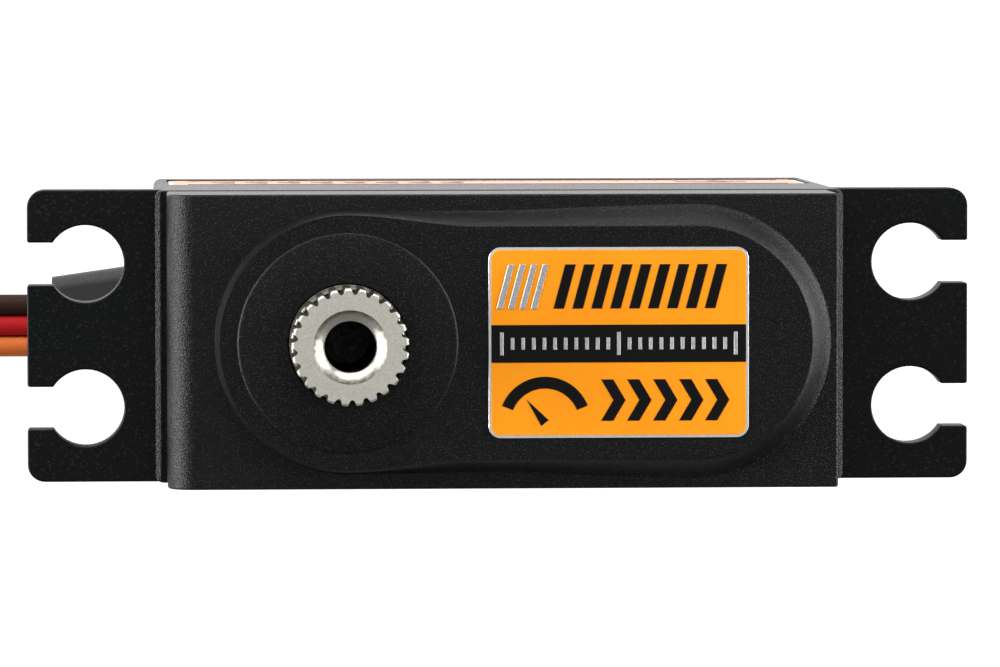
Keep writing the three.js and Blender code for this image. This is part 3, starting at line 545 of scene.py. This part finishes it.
# ---------- plug and tie, which lie with the lead ----------
def add_plug():
    """A three-way housing: a passage and a latch window for each contact, and grooves between the ways."""
    x0, x1, half, top = PLUG["x0"], PLUG["x1"], PLUG["half_y"], PLUG["z1"]
    outline = rounded_rect(-half, half, PLUG["z0"], top, 0.35, 5)

    def along_x(y, z, x):
        return (x, y, z)

    body = rounded_prism("plug_housing_shell", outline, x0, x1, 0.15, 0.15, [plug_black], along_x)
    passage = {"half_y": 0.9, "half_z": 0.75}
    window = {"x0": -45.4, "x1": -42.6, "half_y": 0.55, "floor": 0.5}
    groove = {"end_x": -47.4, "half_y": 0.14, "depth": 0.16}
    for i in (-1, 0, 1):
        y, wide, high = i * PLUG["pitch"], passage["half_y"], passage["half_z"]
        cut(body, block(x0 - BEYOND, x1 + BEYOND, y - wide, y + wide, PLUG_Z - high, PLUG_Z + high))
        wide = window["half_y"]
        latch = (window["x0"], window["x1"], y - wide, y + wide)
        cut(body, block(*latch, PLUG_Z + window["floor"], top + BEYOND))
    for y in (-PLUG["pitch"] / 2, PLUG["pitch"] / 2):
        wide = groove["half_y"]
        line = (x0 - BEYOND, groove["end_x"], y - wide, y + wide)
        cut(body, block(*line, top - groove["depth"], top + BEYOND))
    return finish_piece(body, "case", ["plug_housing"])


def add_tie():
    """A flat band round the hank and the plug that lies on it."""
    slack, low_z = TIE["slack"], TIE["thick"]
    low_y = -HANK_R - WIRE_D / 2 - slack
    high_y = HANK_R - HANK["pitch"] / 2 + WIRE_D / 2 + slack
    hank_top, plug_y, top = low_z + 3 * WIRE_D, PLUG["half_y"] + slack, PLUG["z1"] + slack / 2
    corners = [
        (low_y, low_z), (high_y, low_z), (high_y, hank_top),
        (plug_y, top), (-plug_y, top), (low_y, hank_top),
    ]
    loop = []
    bend = 0.28
    for i, corner in enumerate(corners):
        here = Vector(corner)
        before, after = Vector(corners[i - 1]) - here, Vector(corners[(i + 1) % len(corners)]) - here
        a, b = here + before.normalized() * bend, here + after.normalized() * bend
        loop += [tuple(a.lerp(here, t).lerp(here.lerp(b, t), t)) for t in (0, 0.25, 0.5, 0.75, 1)]
    clearance, edge_r = 0.03, 0.08
    section = rounded_rect(-TIE["half"], TIE["half"], 0.0, TIE["thick"] - clearance, edge_r, 2)
    grown = {t: inset(loop, -t) for t in {round(t, 5) for _, t in section}}
    points, faces = [], []
    count = len(section)
    for i in range(len(loop)):
        points += [(TIE["x"] + x, *grown[round(t, 5)][i]) for x, t in section]
    for i in range(len(loop)):
        this, following = i * count, (i + 1) % len(loop) * count
        for j in range(count):
            beside = (j + 1) % count
            faces.append((this + j, this + beside, following + beside, following + j))
    band = raw_object("lead_tie_band", points, faces, [rubber])
    return finish_piece(band, "case", ["lead_tie"], 50)


plug = add_plug()
tie = add_tie()
route = lead_route()
add_wire("wire_brown", wire_brown, -1, "lead_run", route)
add_wire("wire_red", wire_red, 0, "lead_hank", route)
add_wire("wire_orange", wire_orange, 1, "lead_end", route)


# ---------- case ----------
def flange_outline():
    """Both flanges as one plate, with the open slotted holes."""
    tip, hole_x, r, half_mouth = FLANGE["tip"], FLANGE["hole_x"], FLANGE["hole_r"], FLANGE["mouth"] / 2
    corner, lip = 0.9, 0.13
    angle = math.degrees(math.asin(half_mouth / r))
    half = [*arc(tip - corner, -CASE["y"] + corner, corner, -90, 0, 8)]
    for y in (-FLANGE["hole_y"], FLANGE["hole_y"]):
        half += arc(tip - lip, y - half_mouth - lip, lip, 0, 90, 4)
        half += arc(hole_x, y, r, -angle, angle - 360, 44)
        half += arc(tip - lip, y + half_mouth + lip, lip, -90, 0, 4)
    half += arc(tip - corner, CASE["y"] - corner, corner, 0, 90, 8)
    return half + [(-x, -y) for x, y in half]


def case_shell(name, low, high, r_low, r_high):
    """One length of the case's outside."""
    outline = rounded_rect(-CASE["x"], CASE["x"], -CASE["y"], CASE["y"], CASE["corner"], 8)
    return rounded_prism(name, outline, low, high, r_low, r_high, [case_grain])


def add_middle_case():
    body = case_shell("middle_case_shell", COVER_TOP, SEAM, 0.09, 0.16)
    rim = 0.1
    plate = rounded_prism("tool", flange_outline(), FLANGE["low"], FLANGE["top"], rim, rim, [case_flange])
    combine(body, plate, "UNION")
    wall_x, wall_y = CASE["x"] - SKIN, CASE["y"] - SKIN
    cut(body, hollow_of("middle_case", block(-wall_x, wall_x, -wall_y, wall_y, 2.0, 22.0)))

    # a notch for the grommet's neck, and the side label's recess
    neck = GROMMET["half_y"]
    cut(body, block(-18.6, -16.6, LEAD_Y - neck, LEAD_Y + neck, 1.5, GROMMET["neck_top"]))
    recess_x = SIDE_LABEL["half_x"] + 0.1
    recess_z = (SIDE_LABEL["low"] - 0.1, SIDE_LABEL["high"] + 0.1)
    cut(body, block(-recess_x, recess_x, CASE["y"] - SIDE_LABEL["depth"], 8.0, *recess_z))

    # a fine groove beside each end of the top case, and a sloping ridge outside it
    gap, groove_y = 0.01, CASE["y"] - 0.1
    for x0, x1 in ((-17.46, TOP["x0"] - gap), (TOP["x1"] + gap, 17.35)):
        cut(body, block(x0, x1, -groove_y, groove_y, SEAM - 0.06, SEAM + 0.5))
    for side in (-1, 1):
        slope = [
            (17.5, SEAM + 0.02), (17.9, SEAM - 0.18), (18.4, SEAM - 0.18),
            (18.4, SEAM + 0.5), (17.5, SEAM + 0.5),
        ]
        rings = [[(side * x, y, z) for x, z in slope] for y in (-8, 8)]
        wedge = loft("tool", rings)
        tidy_mesh(wedge)
        cut(body, wedge)
    return finish_piece(body, "case", ["middle_case"])


def add_bottom_case():
    """A tray with a post round each sunk case screw, and four pads under the control board."""
    body = case_shell("bottom_case_shell", 0, COVER_TOP, 0.35, 0.09)
    inner_x, inner_y = CASE["x"] - WALL, CASE["y"] - WALL
    floor, root, top, above = 1.2, 0.6, COVER_TOP - 0.01, COVER_TOP + 0.6
    cut(body, block(-inner_x, inner_x, -inner_y, inner_y, floor, above))
    post_r, pad_r, head_r, hole_r = 1.9, 0.8, 1.6, 0.95
    pad_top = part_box("control_board")[0][2] / MM
    stem = [(0, root), (post_r, root), (post_r, top), (0, top)]
    pad = [(0, root), (pad_r, root), (pad_r, pad_top), (0, pad_top)]
    bore = [
        (0, -BEYOND), (head_r, -BEYOND), (head_r, floor), (hole_r, floor), (hole_r, above), (0, above),
    ]
    for side_x in (-1, 1):
        for side_y in (-1, 1):
            post = (side_x * POST["x"], side_y * POST["y"])
            combine(body, lathe("tool", *post, stem, 48, [case_grain]), "UNION")
            rest = lathe("tool", side_x * PAD["x"], side_y * PAD["y"], pad, 24, [case_grain])
            combine(body, rest, "UNION")
            cut(body, lathe("tool", *post, bore, 40))
    return finish_piece(body, "case", ["bottom_case"])


WAIST_X, RIGHT_X = -1.4, 9.6


def platform_ring(z, left, waist, right, steps=24):
    """Outline of the raised platform: a large round end about the shaft, a waist, and a round far end."""

    def half_width(x):
        if x < WAIST_X:
            return left + smooth((x - SHAFT_X) / (WAIST_X - SHAFT_X)) * (waist - left)
        return waist + smooth((x - WAIST_X) / (RIGHT_X - WAIST_X)) * (right - waist)

    along = [SHAFT_X + (RIGHT_X - SHAFT_X) * i / steps for i in range(1, steps)]
    ring = arc(SHAFT_X, 0, left, 90, 270, 2 * steps)
    ring += [(x, -half_width(x)) for x in along]
    ring += arc(RIGHT_X, 0, right, -90, 90, 2 * steps)
    ring += [(x, half_width(x)) for x in reversed(along)]
    return [(x, y, z) for x, y in ring]


def platform():
    """The raised platform: a cove at the foot runs up into a rounded brow."""
    foot = {"left": 6.72, "waist": 6.65, "right": 7.0}
    head = {"left": 6.48, "waist": 5.88, "right": 5.86}
    # height and way in from foot to head, both as shares
    profile = [
        (-0.6, -0.02), (0.0, 0.0), (0.04, 0.08), (0.1, 0.17), (0.19, 0.27), (0.31, 0.38), (0.46, 0.49),
        (0.61, 0.6), (0.76, 0.72), (0.88, 0.83), (0.95, 0.91), (0.985, 0.96), (1.0, 1.0),
    ]
    rings = []
    for up, inward in profile:
        size = {k: foot[k] + inward * (head[k] - foot[k]) for k in foot}
        rings.append(platform_ring(TOP_FACE + up * (PLATFORM_Z - TOP_FACE), **size))
    return loft("tool", rings, [case_grain])


def add_top_case():
    x0, x1, y, fillet = TOP["x0"], TOP["x1"], TOP["y"], TOP["fillet"]
    foot, edge, side = 0.1, 0.16, 0.12
    profile = [
        *arc(x1 - foot, SEAM + foot, foot, -90, 0, 3),
        *arc(x1 - edge, TOP_FACE - edge, edge, 0, 90, 4),
        *arc(x0 + fillet, TOP_FACE - fillet, fillet, 90, 180, 16),
        *arc(x0 + foot, SEAM + foot, foot, 180, 270, 3),
    ]

    def along_y(u, v, w):
        return (u, -w, v)

    body = rounded_prism("top_case_shell", profile, -y, y, side, side, [case_grain], along_y)
    combine(body, platform(), "UNION")
    room = block(x0 + 0.6, x1 - 0.5, -y + SKIN, y - SKIN, 20.5, 26.7)
    under_platform = block(-1.8, 13.8, -4.8, 4.8, 26.5, 27.7)
    cut(body, hollow_of("top_case", room, under_platform))

    # the bearing's seat with the shaft's hole, and a disc round it that stands just proud of the platform
    seat = [(0, 25.0), (5.08, 25.0), (5.08, 27.85), (2.98, 27.85), (2.98, 28.4), (3.08, 28.6), (0, 28.6)]
    disc = [(2.5, 28.3), (5.6, 28.3), (5.6, 28.49), (5.53, 28.55), (5.46, 28.57), (2.5, 28.57)]
    combine(body, lathe("tool", SHAFT_X, 0, disc, 144, [case_grain]), "UNION")
    cut(body, lathe("tool", SHAFT_X, 0, seat))
    body.data.materials.append(case_smooth)
    smooth_slot = len(body.data.materials) - 1
    for face in body.data.polygons:
        if face.center.z > (PLATFORM_Z - 0.02) * MM:
            face.material_index = smooth_slot
    return finish_piece(body, "case", ["top_case"])


add_middle_case()
add_bottom_case()
add_top_case()


# ---------- output shaft ----------
def spline_ring(z, tip, root):
    """The spline's outline at one height."""
    ring = []
    # one tooth: share of the pitch, and share of the tooth's height
    shape = [(-0.46, 0.0), (-0.38, 0.12), (-0.27, 0.66), (-0.2, 0.95), (-0.12, 1.0)]
    shape += [(-s, h) for s, h in reversed(shape)]
    for tooth in range(SPLINE["teeth"]):
        for share, height in shape:
            a = math.radians((tooth + share) * 360 / SPLINE["teeth"] + SPLINE["turn"])
            r = root + height * (tip - root)
            ring.append((SHAFT_X + r * math.cos(a), r * math.sin(a), z))
    return ring


def thread_tool():
    """The bore's air: an M3 thread as a wound ridge, with plain ends."""
    steps, rows_a_turn, low, high = 48, 6, 24.3, 31.9
    pitch, bore_r, depth, run_out = 0.5, 1.25, 0.22, 0.3
    rows = int((high - low) / pitch * rows_a_turn)
    points = []
    for k in range(rows + 1):
        z = low + (high - low) * k / rows
        fade = min(1.0, (z - low) / run_out, (high - z) / run_out)
        for i in range(steps):
            turn = (z / pitch - i / steps) % 1.0
            r = bore_r + depth * fade * (1 - abs(2 * turn - 1))
            a = 2 * math.pi * i / steps
            points.append((SHAFT_X + r * math.cos(a), r * math.sin(a), z))
    return loft("tool", [points[k * steps : (k + 1) * steps] for k in range(rows + 1)])


def add_output_shaft():
    """The CAD gear and shaft up to the collar, then a finer collar and spline."""
    body = raw_object("output_shaft", [], [])
    body.data = nodes["output_gear"].data.copy()
    tidy_mesh(body)
    cut(body, lathe("tool", SHAFT_X, 0, [(0, 27.95), (4, 27.95), (4, 34), (0, 34)], 32))
    collar = [
        (0, 27.9), (2.87, 27.9), (2.87, 28.3), (2.87, 28.8),
        (2.82, 28.88), (2.74, 28.88), (2.7, 28.6), (0, 28.6),
    ]
    combine(body, lathe("tool", SHAFT_X, 0, collar, 96, [shaft_metal]), "UNION")
    tip, root, top = SPLINE["tip"], SPLINE["root"], SPLINE["top"]
    heights = [(28.5, 0), (top - 0.12, 0), (top - 0.04, 0.04), (top, 0.11)]
    rings = [spline_ring(z, tip - d, min(root, tip - d)) for z, d in heights]
    combine(body, loft("tool", rings, [shaft_metal]), "UNION")
    mouth = [(0, 31.2), (1.3, 31.2), (1.3, 31.76), (1.42, 31.8), (1.84, 32.24), (1.9, 32.4), (0, 32.4)]
    cut(body, combine(lathe("tool", SHAFT_X, 0, mouth, 64), thread_tool(), "UNION"))
    body.data.materials.clear()
    for m in (shaft_metal, shaded_bore_metal, shaded_flank_metal):
        body.data.materials.append(m)
    shaded_bore_slot, shaded_flank_slot = 1, 2
    # painted shade: faces in the bore, in the gaps between the teeth and on the spline's upright faces take
    # the dark copies of the metal; the rest keeps the bright metal
    for face in body.data.polygons:
        across = math.hypot(face.center.x / MM - SHAFT_X, face.center.y / MM)
        height = face.center.z / MM
        in_bore = across < 1.5 and 24.1 < height < 31.7
        beside_spline = across > 1.7 and 28.5 < height < 32.1
        upright = abs(face.normal.z) < 0.3
        on_flank = across < 2.73 or (upright and height > SPLINE["low"])
        if in_bore:
            face.material_index = shaded_bore_slot
        elif beside_spline and on_flank:
            face.material_index = shaded_flank_slot
    drop_slivers(body)
    return finish_piece(body, "output", ["output_gear"], 28)


add_output_shaft()


# ---------- grommet ----------
def add_grommet():
    """The CAD strain relief with its edges softened."""
    body = raw_object("strain_relief", [], [])
    body.data = nodes["lead_grommet"].data.copy()
    tidy_mesh(body)
    soften = body.modifiers.new("soften", "BEVEL")
    soften.width = 0.08 * MM
    soften.segments = 2
    soften.limit_method = "ANGLE"
    soften.angle_limit = math.radians(40)
    body.data.materials.clear()
    body.data.materials.append(rubber)
    return finish_piece(body, "case", ["lead_grommet"])


add_grommet()


# ---------- labels: foil, print and plain marks, with no lettering ----------
def bar(x, y, half_wide, half_high, lean=0.0):
    """An upright or leaning bar."""
    return [
        (x - half_wide - lean, y - half_high), (x + half_wide - lean, y - half_high),
        (x + half_wide + lean, y + half_high), (x - half_wide + lean, y + half_high),
    ]


def chevron(x, y, wide, half_high, point):
    """An arrow mark that points along the first axis."""
    return [
        (x, y - half_high), (x + wide, y - half_high), (x + wide + point, y),
        (x + wide, y + half_high), (x, y + half_high), (x + point, y),
    ]


def dial(x, y, inner, outer, half_angle):
    """A travel gauge: an arc and its pointer."""
    start, end, lean, foot = 90 - half_angle, 90 + half_angle, 38, 0.24
    ring = arc(x, y, outer, start, end, 28) + arc(x, y, inner, end, start, 28)
    tip = arc(x, y, inner - 0.25, 90 + lean, 90 + lean, 1)[0]
    side = (foot * math.cos(math.radians(lean)), foot * math.sin(math.radians(lean)))
    pointer = [(x - side[0], y - side[1]), (x + side[0], y + side[1]), tip]
    return [ring, pointer]


def printed(name, outlines, low, high, material, turn, stands_for=()):
    """One layer of a label, which may be in several patches."""
    layer = bmesh.new()
    for outline in outlines:
        patch = rounded_prism("patch", outline, low, high, 0.0, 0.008, [material], turn, 1)
        layer.from_mesh(patch.data)
        bpy.data.objects.remove(patch)
    obj = raw_object(name, [], [], [material])
    layer.to_mesh(obj.data)
    layer.free()
    return finish_piece(obj, "case", stands_for)


def add_top_label():
    x, hx, hy, r, rim = (LABEL[key] for key in ("x", "half_x", "half_y", "corner", "rim"))
    # the black band leaves these shares of the label below and above it
    band_low, band_high = -hy + 0.396 * 2 * hy, hy - 0.406 * 2 * hy
    upper_y, middle_y, lower_y = (band_high + hy) / 2, (band_low + band_high) / 2, (band_low - hy) / 2

    def face_up(u, v, w):
        return (x + u, v, PLATFORM_Z + w)

    sheet = rounded_rect(-hx, hx, -hy, hy, r, 8)
    field = rounded_rect(-hx + rim, hx - rim, -hy + rim, hy - rim, r - rim, 8)
    band = bar(0, middle_y, hx - rim, (band_high - band_low) / 2)
    bars = [bar(-2.75 + i * 0.96, upper_y - 0.02, 0.27, 1.12, 0.3) for i in range(9)]
    chevrons = [chevron(-0.9 + i * 1.32, lower_y, 0.62, 1.05, 0.62) for i in range(5)]
    silver_bars = [bar(-5.75 + i * 0.58, upper_y - 0.02, 0.15, 1.12, 0.3) for i in range(4)]
    ticks = [bar(-5.94 + i * 0.54, middle_y, 0.09, 0.58 if i % 11 == 0 else 0.3) for i in range(23)]
    printed("top_label_foil", [sheet], 0, 0.05, foil, face_up, ["top_label"])
    printed("top_label_print", [field], 0.05, 0.07, print_orange, face_up)
    gauge = dial(-3.75, lower_y - 1.15, 1.75, 2.35, 68)
    printed("top_label_black", [band, *bars, *chevrons, *gauge], 0.07, 0.085, print_black, face_up)
    printed("top_label_silver", [*silver_bars, *ticks], 0.07, 0.1, print_silver, face_up)


def add_side_label():
    half, low, high, r, rim = (SIDE_LABEL[key] for key in ("half_x", "low", "high", "corner", "rim"))

    def face_out(u, v, w):
        return (-u, CASE["y"] - SIDE_LABEL["depth"] + w, v)

    middle = (low + high) / 2
    sheet = rounded_rect(-half, half, low, high, r, 8)
    field = rounded_rect(-half + rim, half - rim, low + rim, high - rim, r - rim, 8)
    rules = [bar(0, z, half - 1.0, 0.11) for z in (low + 1.1, high - 1.1)]
    ticks = [
        bar(-15.6 + i * 1.04, low + 1.5, 0.07, 0.42 if i % 5 == 0 else 0.22) for i in range(31)
    ]
    chevrons = [chevron(1.2 + i * 1.75, middle, 0.55, 0.95, 0.65) for i in range(8)]
    gauge = dial(-12.2, middle - 1.35, 1.7, 2.15, 65)
    printed("side_label_foil", [sheet], 0, 0.05, foil, face_out, ["side_label"])
    printed("side_label_print", [field], 0.05, 0.07, shaded_side_orange, face_out)
    marks = [*rules, *ticks, *chevrons, *gauge]
    printed("side_label_black", marks, 0.07, 0.09, side_black, face_out)


add_top_label()
add_side_label()


# ---------- surroundings ----------
def add_floor():
    """A pale glowing floor, seen as plain white. It throws more light up on the +Y side of the case."""
    half = 3000
    corners = [(-half, -half, 0), (half, -half, 0), (half, half, 0), (-half, half, 0)]
    floor = raw_object("floor", corners, [(0, 1, 2, 3)])
    m = Nodes("floor", (0.3, 0.3, 0.3), 0.7, **{"Emission Color": (1, 1, 1, 1)})
    split = m.add("ShaderNodeSeparateXYZ", Vector=m.place)
    bounce = m.between(split.outputs["Y"], 0.15, 1.3, -0.02, 0.02)
    glow = m.tree.nodes.new("ShaderNodeMix")
    m.tree.links.new(m.add("ShaderNodeLightPath").outputs["Is Camera Ray"], glow.inputs[0])
    m.tree.links.new(bounce, glow.inputs[2])
    glow.inputs[3].default_value = 1.0
    m.wire("Emission Strength", glow.outputs[0])
    floor.data.materials.append(m.material)
    floor.location.z = -0.0001


def area_light(name, place, size, power):
    """A soft light that faces the middle of the case."""
    data = bpy.data.lights.new(name, "AREA")
    data.shape = "RECTANGLE"
    data.size, data.size_y = size
    data.energy = power
    light = bpy.data.objects.new(name, data)
    light.location = place
    target = Vector((0, 0, 0.02))
    light.rotation_euler = (target - Vector(place)).to_track_quat("-Z", "Y").to_euler()
    bpy.context.scene.collection.objects.link(light)


def add_world():
    """Seen as plain white, but lighting the case only a little."""
    world = bpy.data.worlds.new("studio")
    world.use_nodes = True
    tree = world.node_tree
    background = tree.nodes["Background"]
    background.inputs["Color"].default_value = (0.9, 0.92, 0.95, 1)
    background.inputs["Strength"].default_value = 0.24
    seen = tree.nodes.new("ShaderNodeBackground")
    seen.inputs["Color"].default_value = (1, 1, 1, 1)
    ray = tree.nodes.new("ShaderNodeLightPath")
    mix = tree.nodes.new("ShaderNodeMixShader")
    tree.links.new(ray.outputs["Is Camera Ray"], mix.inputs[0])
    tree.links.new(background.outputs[0], mix.inputs[1])
    tree.links.new(seen.outputs[0], mix.inputs[2])
    tree.links.new(mix.outputs[0], tree.nodes["World Output"].inputs["Surface"])
    bpy.context.scene.world = world


add_floor()
add_world()
area_light("key", (-0.1, 0.62, 0.34), (0.9, 0.35), 4.8)
area_light("left", (-0.6, 0.04, 0.125), (0.5, 0.2), 8.5)
area_light("right", (0.6, 0.14, 0.13), (0.45, 0.25), 7.0)
area_light("overhead", (0.03, 0.1, 0.8), (0.4, 0.35), 0.42)
bpy.context.scene.view_settings.view_transform = "Standard"
